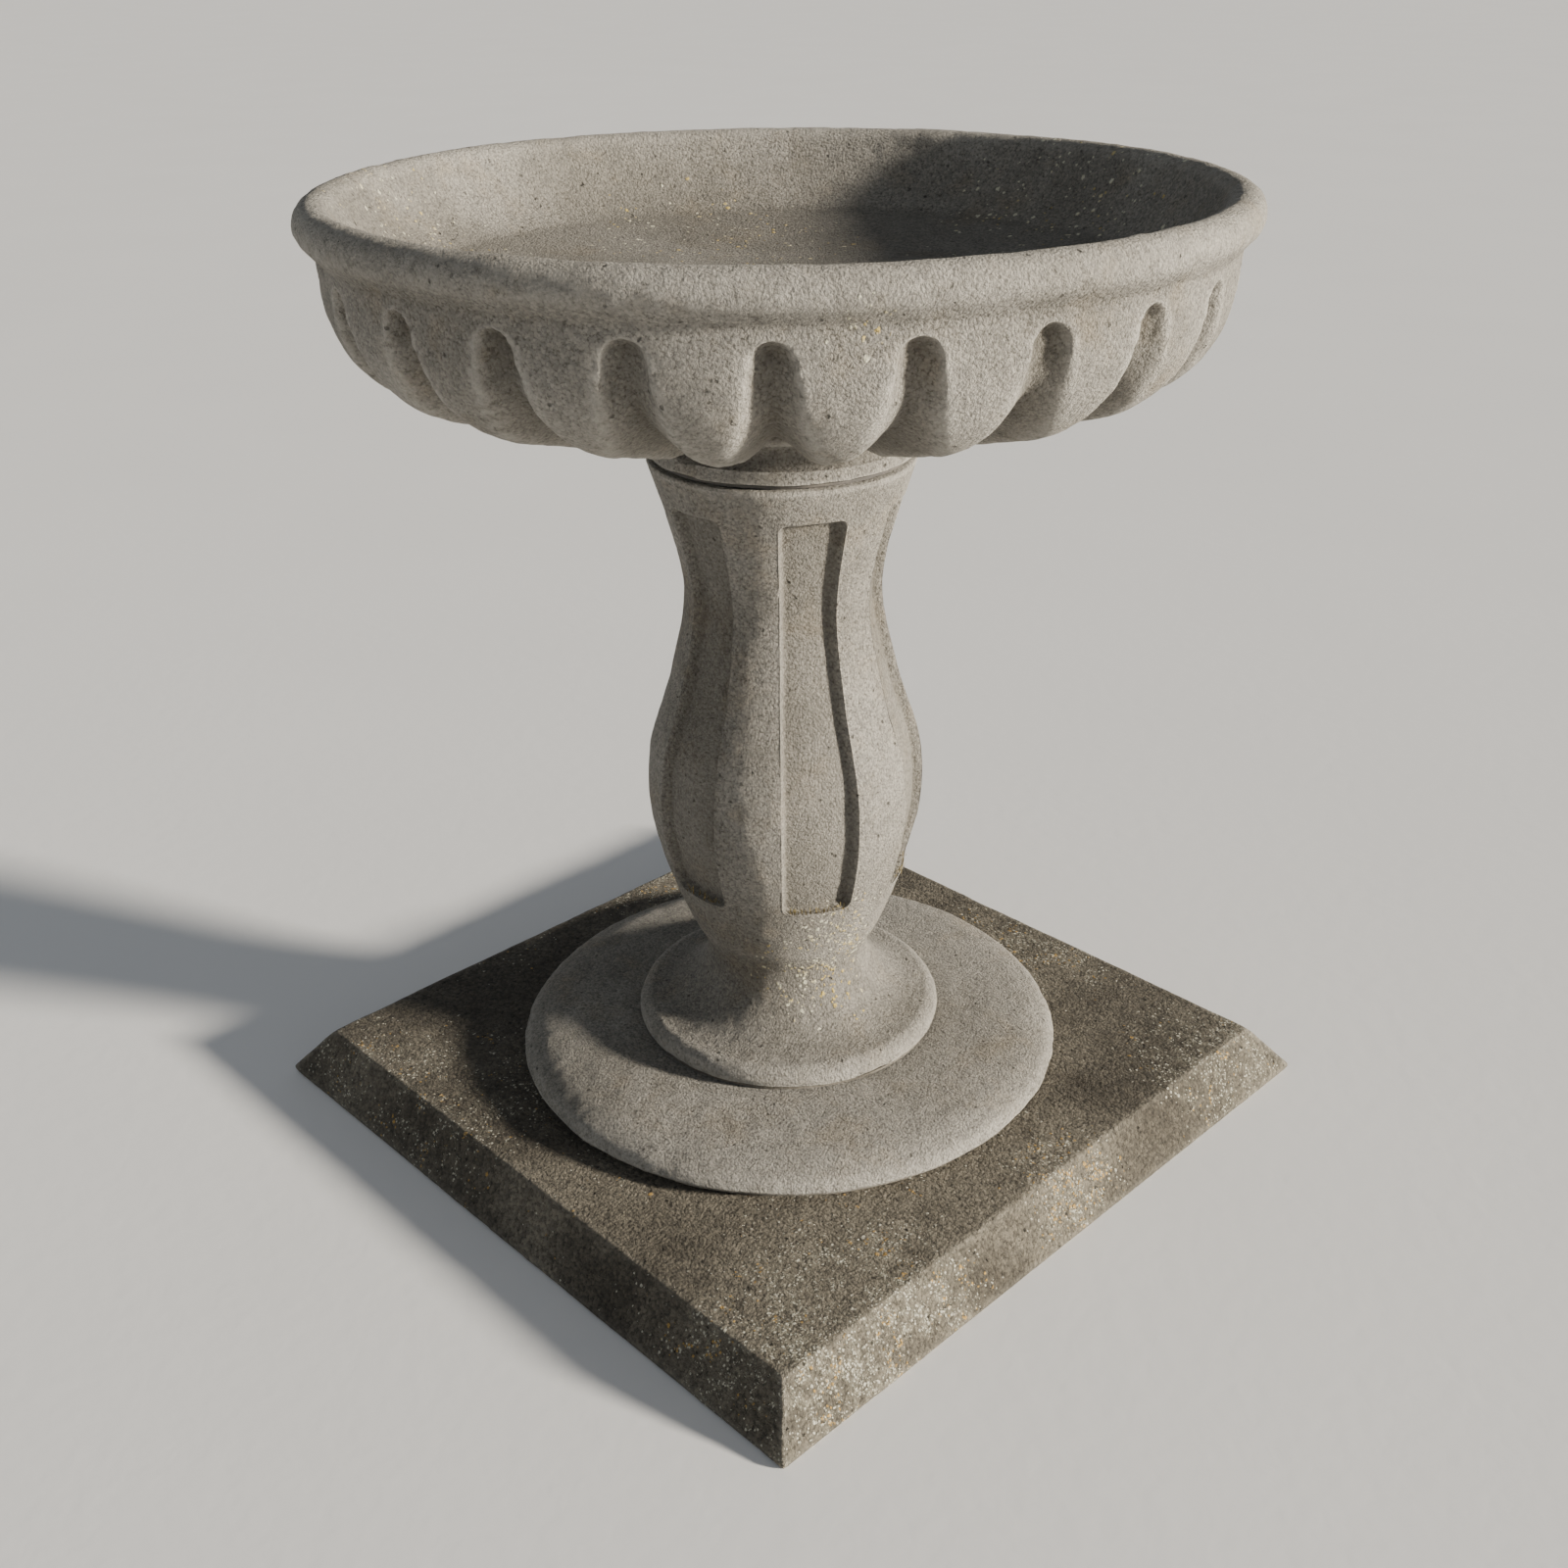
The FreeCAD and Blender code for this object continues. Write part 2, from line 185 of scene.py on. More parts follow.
def smooth_path(points, step):
    """Points about step apart along a smooth curve through the given ones."""
    knots = np.array(points, float)
    chord = length_along(knots)
    slope = np.gradient(knots, chord, axis=0)
    fine = np.linspace(0, chord[-1], 50 * len(knots))
    k = np.clip(np.searchsorted(chord, fine, side="right") - 1, 0, len(knots) - 2)
    span = (chord[k + 1] - chord[k])[:, None]
    t = (fine - chord[k])[:, None] / span
    start = (2 * t**3 - 3 * t**2 + 1) * knots[k] + (t**3 - 2 * t**2 + t) * span * slope[k]
    end = (3 * t**2 - 2 * t**3) * knots[k + 1] + (t**3 - t**2) * span * slope[k + 1]
    return respace(start + end, step)


def arc_path(centre_r, centre_z, radius, start, end, step):
    """Points along a circular arc, with angles in degrees."""
    count = max(2, int(round(abs(math.radians(end - start)) * radius / step)) + 1)
    turn = np.radians(np.linspace(start, end, count))
    return np.stack([centre_r + radius * np.cos(turn), centre_z + radius * np.sin(turn)], 1)


def join_paths(*paths):
    """One outline from several that meet end to end."""
    return np.concatenate([paths[0]] + [path[1:] for path in paths[1:]])


def path_normals(path):
    """Unit normals of an outline, to the right of its direction of travel."""
    along = np.gradient(path, axis=0)
    along /= np.maximum(np.linalg.norm(along, axis=1), 1e-12)[:, None]
    return np.stack([along[:, 1], -along[:, 0]], 1)


def graded_path(points, fine, heights, steps):
    """A smooth curve whose points are about steps apart at the given heights. fine is a far smaller step."""
    path = smooth_path(points, fine)
    spacing = np.interp(path[:, 1], heights, steps)
    ticks = np.concatenate([[0], np.cumsum(fine / spacing)])[:-1]
    wanted = np.linspace(0, ticks[-1], int(ticks[-1]) + 1)
    return np.stack([np.interp(wanted, ticks, path[:, i]) for i in (0, 1)], 1)


def on_axis(radius):
    return radius < 1e-6


# --- meshes -------------------------------------------------------------------------------------
def add_object(name, data):
    """A new object in the scene."""
    obj = bpy.data.objects.new(name, data)
    bpy.context.scene.collection.objects.link(obj)
    return obj


def band_faces(a, b, n, m):
    """Faces between a ring of n vertices from index a and one of m from index b."""
    if m == 1:
        k = np.arange(n)
        return np.stack([a + k, a + (k + 1) % n, b + 0 * k], 1).tolist()
    if n == 1:
        k = np.arange(m)
        return np.stack([a + 0 * k, b + (k + 1) % m, b + k], 1).tolist()
    few = min(n, m)
    k = np.arange(few)
    lower = [a + (n // few * k + j) % n for j in range(n // few + 1)]
    upper = [b + (m // few * (k + 1) - j) % m for j in range(m // few + 1)]
    return np.stack(lower + upper, 1).tolist()


def skin(name, rings, closed=False):
    """A smooth mesh over rings of points, (x, y, z) in mm and how recessed from 0 to 1.
    Each ring's count divides the next one's, or the other way."""
    counts = [len(ring) for ring in rings]
    starts = np.concatenate([[0], np.cumsum(counts)]).astype(int)
    faces = []
    for i in range(len(rings) - 1 + closed):
        j = (i + 1) % len(rings)
        faces += band_faces(starts[i], starts[j], counts[i], counts[j])
    rows = np.concatenate(rings)
    mesh = bpy.data.meshes.new(name)
    mesh.from_pydata((rows[:, :3] * MM).tolist(), [], faces)
    mesh.polygons.foreach_set("use_smooth", np.ones(len(mesh.polygons), bool))
    set_attribute(mesh, "recess", rows[:, 3])
    mesh.update()
    return add_object(name, mesh)


def ring_points(radius, height, turn, recess=0.0):
    """A ring of rows for skin() at angles turn. The others are numbers or one value for each point."""
    return np.stack([radius * np.cos(turn), radius * np.sin(turn), height + 0 * turn, recess + 0 * turn], 1)


def pole(height):
    """The single point that closes a skin on the axis."""
    return np.array([[0, 0, height, 0]])


def mesh_points(mesh):
    co = np.empty(len(mesh.vertices) * 3)
    mesh.vertices.foreach_get("co", co)
    return co.reshape(-1, 3)


def mesh_normals(mesh):
    normals = np.empty(len(mesh.vertices) * 3)
    mesh.vertex_normals.foreach_get("vector", normals)
    return normals.reshape(-1, 3)


def neighbour_mean(mesh, values):
    """The mean of values over each vertex's neighbours."""
    pairs = np.empty(len(mesh.edges) * 2, int)
    mesh.edges.foreach_get("vertices", pairs)
    pairs = pairs.reshape(-1, 2)
    size = len(mesh.vertices)
    count = np.bincount(pairs.ravel(), minlength=size)
    mean = np.empty_like(values)
    for axis in range(values.shape[1]):
        column = values[:, axis]
        total = np.bincount(pairs[:, 0], column[pairs[:, 1]], size)
        total += np.bincount(pairs[:, 1], column[pairs[:, 0]], size)
        mean[:, axis] = total / count
    return mean


def stand_out(mesh, rounds):
    """How far each point stands out of its smoothed surroundings: edges above 0, hollows below."""
    points = mesh_points(mesh)
    smooth = points.copy()
    for _ in range(rounds):
        smooth = 0.4 * smooth + 0.6 * neighbour_mean(mesh, smooth)
    return ((points - smooth) * mesh_normals(mesh)).sum(1)


def set_attribute(mesh, name, values):
    """A number from 0 to 1 at each vertex, which the materials read."""
    attribute = mesh.attributes.new(name, "FLOAT", "POINT")
    attribute.data.foreach_set("value", np.clip(values, 0, 1).astype(np.float32))


def weather(obj, layers, hollow_depth):
    """Mark worn edges, which the materials also paint as a highlight, and dirty hollows, which they also
    darken as painted shade; then roughen the surface. layers are (size, depth, seed).
    """
    mesh = obj.data
    edge = np.clip(stand_out(mesh, EDGE_ROUNDS) / EDGE_DEPTH, 0, 1)
    # Edges: the materials make them paler, partly for wear and partly as a painted highlight.
    set_attribute(mesh, "wear_and_highlight", edge)
    # Hollows: the materials darken them, partly for dirt and partly as painted shade.
    set_attribute(mesh, "dirt_and_shade", -stand_out(mesh, HOLLOW_ROUNDS) / hollow_depth)
    points = mesh_points(mesh)
    ground = points[:, 2] < GROUND
    sunk = CHIP_DEPTH * edge * smoothstep(0.25, 0.5, value_noise(points, CHIP_SIZE, CHIP_SEED))
    for size, depth, seed in layers:
        sunk += 0.5 * depth * (1 + value_noise(points, size, seed))
    points -= mesh_normals(mesh) * sunk[:, None]
    points[:, 2] = np.where(ground, 0, np.maximum(points[:, 2], 0))
    mesh.vertices.foreach_set("co", points.ravel())
    mesh.update()


# --- bowl ---------------------------------------------------------------------------------------
def flute_angles():
    """Angles round the bowl, closer together at the middle of each flute."""
    place = 2 * np.arange(ANGLES_PER_FLUTE) / ANGLES_PER_FLUTE - 1
    offset = 0.5 * SECTOR * np.sign(place) * (0.45 * np.abs(place) + 0.55 * place**2)
    return (SECTOR * np.arange(FLUTES)[:, None] + offset[None, :]).ravel()


def flute_depth(angle, radius, down):
    """Depth of the fluting at an angle from a flute's middle, down mm below the flutes' tips."""
    half_pitch = 0.5 * SECTOR * radius
    across = np.abs(angle) * radius
    half_width = min(TIP_R + FLUTE_SPREAD * max(down, 0), 0.96 * half_pitch)
    depth = min(TIP_DEPTH + FLUTE_DEEPENING * max(down, 0), FLUTE_DEPTH)
    reach = np.hypot(across, max(TIP_R - down, 0)) / half_width
    scooped = np.maximum(1 - reach**SCOOP_POWER, 0)
    slack = 1 - np.sqrt(reach**2 + VALLEY_SOFTNESS)
    sharp = (slack + np.sqrt(slack**2 + VALLEY_SOFTNESS)) / VALLEY_SCALE
    groove = depth * (scooped + (sharp - scooped) * smoothstep(*VALLEY_BELOW, down))
    crown = CROWN * smoothstep(*CROWN_BELOW, down) * np.maximum(1 - across / half_pitch, 0) ** 2
    cut = np.maximum(groove, 0) * smoothstep(-3, 0.5, down) + crown
    run_out = FLUTE_DEPTH * smoothstep(*RUN_OUT_RADII, radius)
    return np.maximum(cut, run_out) * smoothstep(*COVE_RADII, radius)


def bowl_foot():
    """The outline from the top of the socket, out under the bowl and round the foot ring."""
    low = BOWL_LOW.z / MM
    edge = FOOT_RING_ROUND
    return join_paths(
        respace([(0, SOCKET_TOP), (SOCKET_R, SOCKET_TOP)], 11),
        respace([(SOCKET_R, SOCKET_TOP), (SOCKET_R, low)], 6),
        respace([(SOCKET_R, low), (FOOT_RING_R - edge, low)], 4),
        arc_path(FOOT_RING_R - edge, low + edge, edge, -90, 0, 0.7),
        respace([(FOOT_RING_R, low + edge), (FOOT_RING_R, FOOT_RING_TOP - edge)], 1.6),
        arc_path(FOOT_RING_R - edge, FOOT_RING_TOP - edge, edge, 0, 90, 0.7))


def rim_and_dish():
    """The outline from the crease, round the rolled rim and down the dish, and how many of its points
    are the dish's floor."""
    roll = arc_path(*ROLL, ROLL_START, ROLL_END, 2.1)
    chamfer = respace([FLUTED_SIDE[-1], tuple(roll[0])], 1.4)
    wall = smooth_path([tuple(roll[-1]), *DISH[:DISH_WALL_POINTS]], 2.9)
    floor = smooth_path(DISH[DISH_WALL_POINTS - 1:], 4.6)
    return join_paths(chamfer, roll, wall, floor), len(floor)


def build_bowl():
    foot = bowl_foot()
    cove = smooth_path([(FOOT_RING_R - FOOT_RING_ROUND, FOOT_RING_TOP), *COVE, FLUTED_SIDE[0]], 2.4)
    side = graded_path(FLUTED_SIDE, 0.5, FLUTE_HEIGHTS, FLUTE_STEPS)
    rim, floor_points = rim_and_dish()
    path = join_paths(foot, cove, side, rim)
    foot_end = len(foot) - 1
    side_start = foot_end + len(cove) - 1
    side_end = side_start + len(side) - 1
    floor_start = len(path) - floor_points
    along = length_along(path)
    normals = path_normals(path)
    turn = flute_angles()
    offset = (turn + 0.5 * SECTOR) % SECTOR - 0.5 * SECTOR
    rings = []
    for i, (r, z) in enumerate(path):
        if on_axis(r):
            rings.append(pole(z))
            continue
        share = 1
        if i < side_start:
            share = 4 if r < 45 else 2
        elif i > floor_start:
            share = 2 if r > 110 else 4 if r > 52 else 8
        depth = 0 * turn
        if foot_end < i < side_end:
            depth = flute_depth(offset, r, along[side_end] - along[i] - TIP_DROP)
        points = ring_points(r - depth * normals[i, 0], z - depth * normals[i, 1], turn, depth / FLUTE_DEPTH)
        rings.append(points[::share])
    return skin("bowl_casting", rings)


# --- column, base and slab ----------------------------------------------------------------------
def panel_angles():
    """Angles round the column, closer together at the edges of the panels."""
    marks = np.array([-30, -16.2, -13.6, 13.6, 16.2, 30]) * math.radians(1)
    counts = (14, 12, 24, 12, 14)
    parts = [np.linspace(a, b, count, endpoint=False) for a, b, count in zip(marks, marks[1:], counts)]
    offset = np.concatenate(parts)
    return (PANEL_FIRST + PANEL_SECTOR * np.arange(PANELS)[:, None] + offset[None, :]).ravel()


def panel_depth(offset, radius, z):
    """Depth of the recessed panels at an angle from a panel's middle."""
    across = PANEL_HALF_ANGLE * radius - np.abs(offset) * radius
    upright = min(z - PANEL_LOW, PANEL_HIGH - z)
    corner_x = np.maximum(PANEL_CORNER_R - across, 0)
    corner_z = max(PANEL_CORNER_R - upright, 0)
    inside = PANEL_CORNER_R - np.hypot(corner_x, corner_z)
    inside = np.where((corner_x > 0) & (corner_z > 0), inside, np.minimum(across, upright))
    return PANEL_DEPTH * smoothstep(*PANEL_WALL, inside)


def column_foot():
    """The outline from the top of the foot dowel's hole, out under the foot and round its toe."""
    low = COLUMN_LOW.z / MM
    well = FOOT_DOWEL_HIGH.z / MM
    return join_paths(
        respace([(0, well), (SOCKET_R, well)], 11),
        respace([(SOCKET_R, well), (SOCKET_R, low)], 12),
        respace([(SOCKET_R, low), (FOOT_SEAT_R, low)], 8),
        respace([(FOOT_SEAT_R, low), (TOE_R, TOE[1])], 1.3),
        arc_path(*TOE, 0, 90, 1.4))


def column_head():
    """The outline from the flare's top, over the lip and down the head dowel's hole."""
    high = COLUMN_HIGH.z / MM
    well = HEAD_DOWEL_LOW.z / MM
    return join_paths(
        smooth_path([FLARE[-1], LIP_EDGE, (LIP_TOP_R, high)], 0.9),
        respace([(LIP_TOP_R, high), (SOCKET_R, high)], 5),
        respace([(SOCKET_R, high), (SOCKET_R, well)], 12),
        respace([(SOCKET_R, well), (0, well)], 11))


def build_column():
    foot = column_foot()
    side = graded_path(FLARE, 0.25, PANEL_HEIGHTS, PANEL_STEPS)
    path = join_paths(foot, side, column_head())
    side_start = len(foot) - 1
    side_end = side_start + len(side) - 1
    turn = panel_angles()
    offset = (turn - PANEL_FIRST + 0.5 * PANEL_SECTOR) % PANEL_SECTOR - 0.5 * PANEL_SECTOR
    rings = []
    for i, (r, z) in enumerate(path):
        if on_axis(r):
            rings.append(pole(z))
            continue
        depth = 0 * turn
        if side_start < i < side_end:
            depth = panel_depth(offset, r, z)
        share = 4 if (r < SOCKET_R + 6) else 2 if (i < side_start - 8 or i > side_end + 6) else 1
        rings.append(ring_points(r - depth, z, turn, depth / PANEL_DEPTH)[::share])
    return skin("column_casting", rings)


def even_angles(count):
    return 2 * math.pi * np.arange(count) / count


def build_base():
    low, high = BASE_LOW.z / MM, BASE_HIGH.z / MM
    path = join_paths(
        respace([(SOCKET_R, low), (BASE_SEAT_R, low)], 8),
        smooth_path([(BASE_SEAT_R, low), BASE_EDGE, BASE_SHOULDER[0]], 1.6),
        smooth_path(BASE_SHOULDER, 2.2),
        respace([BASE_SHOULDER[-1], (SOCKET_R, high)], 5),
        respace([(SOCKET_R, high), (SOCKET_R, low)], 6))[:-1]
    turn = even_angles(BASE_ANGLES)
    rings = []
    for r, z in path:
        flat = z < low + 0.1 or (z > high - 0.1 and r < 95)
        share = 2 if r < 100 else 1
        if flat or r < SOCKET_R + 1:
            share = 8 if r < SOCKET_R + 12 else 4
        rings.append(ring_points(r, z, turn[::share]))
    return skin("base_casting", rings, closed=True)


def square_ring(half, z, count, corner):
    """Points round a square, evenly spaced along each side, with corners eased within corner mm of them."""
    ease = 0.3
    side = np.linspace(-1, 1, count // 4, endpoint=False)
    y = half * side
    beyond = np.clip((np.abs(y) - (half - corner)) / corner, 0, 1)
    x = half - corner * (1 - np.sqrt(1 - beyond**2)) * ease
    y = np.sign(y) * np.minimum(np.abs(y), half - ease * corner * beyond)
    points = []
    for quarter in range(4):
        cos, sin = math.cos(quarter * math.pi / 2), math.sin(quarter * math.pi / 2)
        points.append(np.stack([x * cos - y * sin, x * sin + y * cos, z + 0 * x, 0 * x], 1))
    return np.concatenate(points)


def slab_outline():
    """Half widths and heights from under the slab, up its lip and slope and in over its top."""
    half, high = SLAB_HIGH.x / MM, SLAB_HIGH.z / MM
    slope_foot = (half - 0.9, SLAB_LIP + 1)
    slope_head = (SLAB_TOP_HALF + 1.2, high - 1.5)
    top_edge = (SLAB_TOP_HALF - 1.6, high)
    return join_paths(
        respace([(60, 0), (half - 1.6, 0)], 12),
        respace([(half - 1.6, 0), (half - 0.5, 0.5), (half, 1.6), (half, SLAB_LIP - 0.6), slope_foot], 1),
        respace([slope_foot, slope_head], 1.9),
        respace([slope_head, (SLAB_TOP_HALF + 0.1, high - 0.45), top_edge], 0.9),
        respace([top_edge, (130, high)], 2.6))


def build_slab():
    half, high = SLAB_HIGH.x / MM, SLAB_HIGH.z / MM
    well = FOOT_DOWEL_LOW.z / MM
    rings = [pole(0)]
    for r, z in slab_outline():
        share = 4 if z < 0.1 and r < half - 2 else 1
        rings.append(square_ring(r, z, SLAB_ANGLES, 1.6)[::share])
    turn = even_angles(SLAB_ANGLES) - math.pi / 4
    for r, z, share in [(90, high, 4), (50, high, 8), (SOCKET_R, high, 8), (SOCKET_R, well, 8)]:
        rings.append(ring_points(r, z, turn)[::share])
    rings.append(pole(well))
    return skin("slab_casting", rings)


# --- moss ---------------------------------------------------------------------------------------
def moss_blade(random, panel):
    """The nine corners of a blade on a panel's ledge: three each at its root, middle and tip."""
    turn = PANEL_FIRST + PANEL_SECTOR * panel + random.uniform(-0.85, 0.85) * PANEL_HALF_ANGLE
    out = np.array([math.cos(turn), math.sin(turn), 0])
    side = np.array([-out[1], out[0], 0])
    root = out * random.uniform(*MOSS_RING) + (0, 0, PANEL_LOW - 0.5)
    height = random.uniform(*MOSS_HEIGHT)
    width = random.uniform(*MOSS_WIDTH)
    lean = side * random.normal(0, 0.3) + out * random.uniform(0, 0.3)
    middle = root + (lean * 0.35 + (0, 0, 0.6)) * height
    tip = root + (lean + (0, 0, 1)) * height
    corners = []
    for place, half in ((root, width), (middle, 0.8 * width), (tip, 0.1 * width)):
        corners += [place - side * half, place + out * half, place + side * half]
    return corners


def blade_faces(a):
    """The faces of a blade whose first corner has index a."""
    faces = []
    for k in (a, a + 3):
        faces += [(k, k + 1, k + 4, k + 3), (k + 1, k + 2, k + 5, k + 4), (k + 2, k, k + 3, k + 5)]
    return faces + [(a, a + 2, a + 1), (a + 6, a + 7, a + 8)]


def build_moss():
    """Short dry blades growing from the ledges under the panels."""
    random = np.random.default_rng(51)
    points, faces = [], []
    for panel in range(PANELS):
        for _ in range(random.integers(*MOSS_BLADES)):
            faces += blade_faces(len(points))
            points += moss_blade(random, panel)
    mesh = bpy.data.meshes.new("panel_moss")
    mesh.from_pydata((np.array(points) * MM).tolist(), [], faces)
    return add_object("panel_moss", mesh)


# --- materials ----------------------------------------------------------------------------------
class Paint:
    """A material's nodes, added one after another."""

    def __init__(self, name):
        self.material = bpy.data.materials.new(name)
        self.material.use_nodes = True
        self.tree = self.material.node_tree
        self.tree.nodes.clear()
        self.output = self.tree.nodes.new("ShaderNodeOutputMaterial")
        self.place = self.tree.nodes.new("ShaderNodeTexCoord").outputs["Object"]

    def node(self, kind, inputs, **settings):
        made = self.tree.nodes.new(kind)
        for key, value in settings.items():
            setattr(made, key, value)
        for key, value in inputs.items():
            if isinstance(value, bpy.types.NodeSocket):
                self.tree.links.new(value, made.inputs[key])
            else:
                made.inputs[key].default_value = value
        return made

    def math(self, operation, a, b):
        return self.node("ShaderNodeMath", {0: a, 1: b}, operation=operation).outputs[0]

    def plus(self, a, b):
        return self.math("ADD", a, b)

    def times(self, a, b):
        return self.math("MULTIPLY", a, b)

    def larger(self, a, b):
        return self.math("MAXIMUM", a, b)

    def noise(self, scale, detail=4.0, rough=0.6, stretch=(1, 1, 1), shift=0.0):
        """Noise with features about 1/scale metres across."""
        place = self.place
        if shift or stretch != (1, 1, 1):
            mapping = self.node("ShaderNodeMapping", {0: place, 1: (shift, 0, shift), 3: stretch})
            place = mapping.outputs[0]
        inputs = {"Vector": place, "Scale": scale, "Detail": detail, "Roughness": rough}
        return self.node("ShaderNodeTexNoise", inputs).outputs[0]

    def cells(self, scale, wobble):
        """Uneven cells about 1/scale metres across: (distance from a cell's middle, its random number)."""
        inputs = {"Vector": self.place, "Scale": scale * 2.2, "Detail": 2.0}
        noise = self.node("ShaderNodeTexNoise", inputs).outputs[1]
        bent = self.node("ShaderNodeVectorMath", {0: noise, 3: wobble / scale}, operation="SCALE").outputs[0]
        place = self.node("ShaderNodeVectorMath", {0: self.place, 1: bent}).outputs[0]
        made = self.node("ShaderNodeTexVoronoi", {"Vector": place, "Scale": scale})
        pick = self.node("ShaderNodeSeparateColor", {0: made.outputs["Color"]}).outputs[0]
        return made.outputs["Distance"], pick

    def step(self, value, low, high):
        """0 below low and 1 above high, smooth between. With low over high it runs the other way."""
        inputs = {0: value, 1: low, 2: high, 3: 0.0, 4: 1.0}
        if low > high:
            inputs = {0: value, 1: high, 2: low, 3: 1.0, 4: 0.0}
        return self.node("ShaderNodeMapRange", inputs, interpolation_type="SMOOTHSTEP").outputs[0]

    def between(self, value, low, high):
        """0 to 1 mapped to low to high."""
        return self.node("ShaderNodeMapRange", {0: value, 3: low, 4: high}).outputs[0]

    def mix(self, share, a, b, blend="MIX"):
        """Colour a, or b where share is 1."""
        made = self.tree.nodes.new("ShaderNodeMix")
        made.data_type, made.blend_type = "RGBA", blend
        for key, value in ((0, share), (6, a), (7, b)):
            if isinstance(value, bpy.types.NodeSocket):
                self.tree.links.new(value, made.inputs[key])
            else:
                made.inputs[key].default_value = (*value, 1) if isinstance(value, tuple) else value
        return made.outputs[2]

    def tint(self, colour, mask, strength, shade):
        """The colour, turned towards shade by strength where the mask is 1."""
        return self.mix(self.times(mask, strength), colour, shade)

    def vertex(self, name):
        return self.node("ShaderNodeAttribute", {}, attribute_name=name).outputs["Fac"]

    def height(self):
        return self.node("ShaderNodeSeparateXYZ", {0: self.place}).outputs[2]

    def distance(self, point):
        inputs = {0: self.place, 1: point}
        return self.node("ShaderNodeVectorMath", inputs, operation="DISTANCE").outputs["Value"]

    def near(self, point, reach):
        """1 at a place on the object, falling to 0 at reach metres from it."""
        return self.step(self.distance(point), reach, 0.25 * reach)

    def finish(self, colour, roughness, height, depth, metallic=0.0, specular=0.5):
        """Colour, roughness and a bump that is depth metres high where height is 1."""
        bump = self.node("ShaderNodeBump", {"Height": height, "Distance": depth, "Strength": 1.0}).outputs[0]
        inputs = {"Base Color": colour, "Roughness": roughness, "Metallic": metallic, "Normal": bump,
                  "Specular IOR Level": specular}
        shader = self.node("ShaderNodeBsdfPrincipled", inputs).outputs[0]
        self.tree.links.new(shader, self.output.inputs[0])
        return self.material


def linear(red, green, blue):
    """A colour given as 0-255 screen values."""
    return tuple(((v / 255 + 0.055) / 1.055) ** 2.4 for v in (red, green, blue))


# --- what several stones share ------------------------------------------------------------------
def stone_grain(paint, grains=540):
    """Cast-stone grain with grains about 1/grains metres across:
    (height, where painted shade darkens the gaps between grains, a tone for each grain, air holes, which are
    also painted dark as shade), the last three from 0 to 1."""
    gap, tone = paint.cells(grains, wobble=0.9)
    sand = paint.noise(1.5 * grains, 3.0, 0.7)
    lumps = paint.noise(0.4 * grains, 3.0, 0.6)
    hole_gap, hole_pick = paint.cells(210, wobble=0.6)
    hole = paint.times(paint.step(hole_gap, 0.3, 0.12), paint.step(hole_pick, 0.93, 0.96))
    height = paint.plus(paint.times(gap, -0.45), paint.times(sand, 0.75))
    height = paint.plus(height, paint.times(lumps, 0.6))
    height = paint.math("SUBTRACT", height, hole)
    # Painted shade: the deeper gaps between grains, which the colours darken.
    crevice_shade = paint.times(paint.step(gap, 0.35, 0.85), paint.step(sand, 0.62, 0.4))
    return height, crevice_shade, tone, hole


def flecks(paint, scale, share, where, size):
    """Small irregular spots on a share of the cells, where that mask is 1."""
    gap, pick = paint.cells(scale, wobble=0.7)
    limit = paint.math("SUBTRACT", 1.0, paint.times(where, share))
    chosen = paint.math("GREATER_THAN", pick, limit)
    return paint.times(chosen, paint.step(gap, size, 0.55 * size))


def patches(paint, places):
    """1 or less near each of the places, given as (point, reach, strength), and 0 away from them."""
    growth = 0.0
    for place, reach, strength in places:
        growth = paint.larger(paint.times(paint.near(place, reach), strength), growth)
    return growth


# --- grey stone ---------------------------------------------------------------------------------
def round_axis(degrees, radius, height):
    """A place at an angle about the axis, with its radius and height in mm."""
    turn = math.radians(degrees)
    return (radius * MM * math.cos(turn), radius * MM * math.sin(turn), height * MM)


def lichen_places(paint):
    """Where pale lichen grows on the grey castings."""
    neck = (round_axis(-20, 70, 140), 0.068, 1.0)
    crease = (round_axis(-34, 270, 611), 0.03, 0.3)
    dish_left = (round_axis(215, 232, 606), 0.11, 0.22)
    dish_right = (round_axis(80, 225, 600), 0.12, 0.22)
    dish_floor = (round_axis(150, 150, 580), 0.12, 0.2)
    clumps = paint.step(paint.noise(26, 3, 0.65, shift=4.0), 0.36, 0.56)
    return paint.times(patches(paint, [neck, crease, dish_left, dish_right, dish_floor]), clumps)


def damp_and_shade_floor(paint):
    """1 on the floor of the dish, which is painted darker, partly as a damp mark where water stands and
    partly as painted shade.
    """
    wander = paint.between(paint.noise(22, 3, 0.6, shift=6.0), -0.008, 0.008)
    gap = paint.plus(paint.distance((0, 0, 0.585)), wander)
    return paint.times(paint.step(gap, 0.229, 0.216), paint.step(paint.height(), 0.566, 0.572))


def grey_body(paint, crevice_shade, tone):
    """The stone before weather: mottled, with a tone for each grain and painted shade in the gaps between
    them.
    """
    mottle = paint.step(paint.noise(8, 5, 0.6), 0.34, 0.66)
    colour = paint.mix(mottle, linear(126, 122, 113), linear(150, 146, 137))
    warm = paint.step(paint.noise(26, 4, 0.65, shift=3.0), 0.5, 0.74)
    colour = paint.tint(colour, warm, 0.3, linear(140, 124, 98))
    shade = paint.mix(tone, (0.71, 0.71, 0.72), (1.22, 1.21, 1.19))
    colour = paint.mix(0.85, colour, shade, "MULTIPLY")
    # Painted shade in the gaps between grains.
    return paint.tint(colour, crevice_shade, 0.7, linear(58, 53, 47))


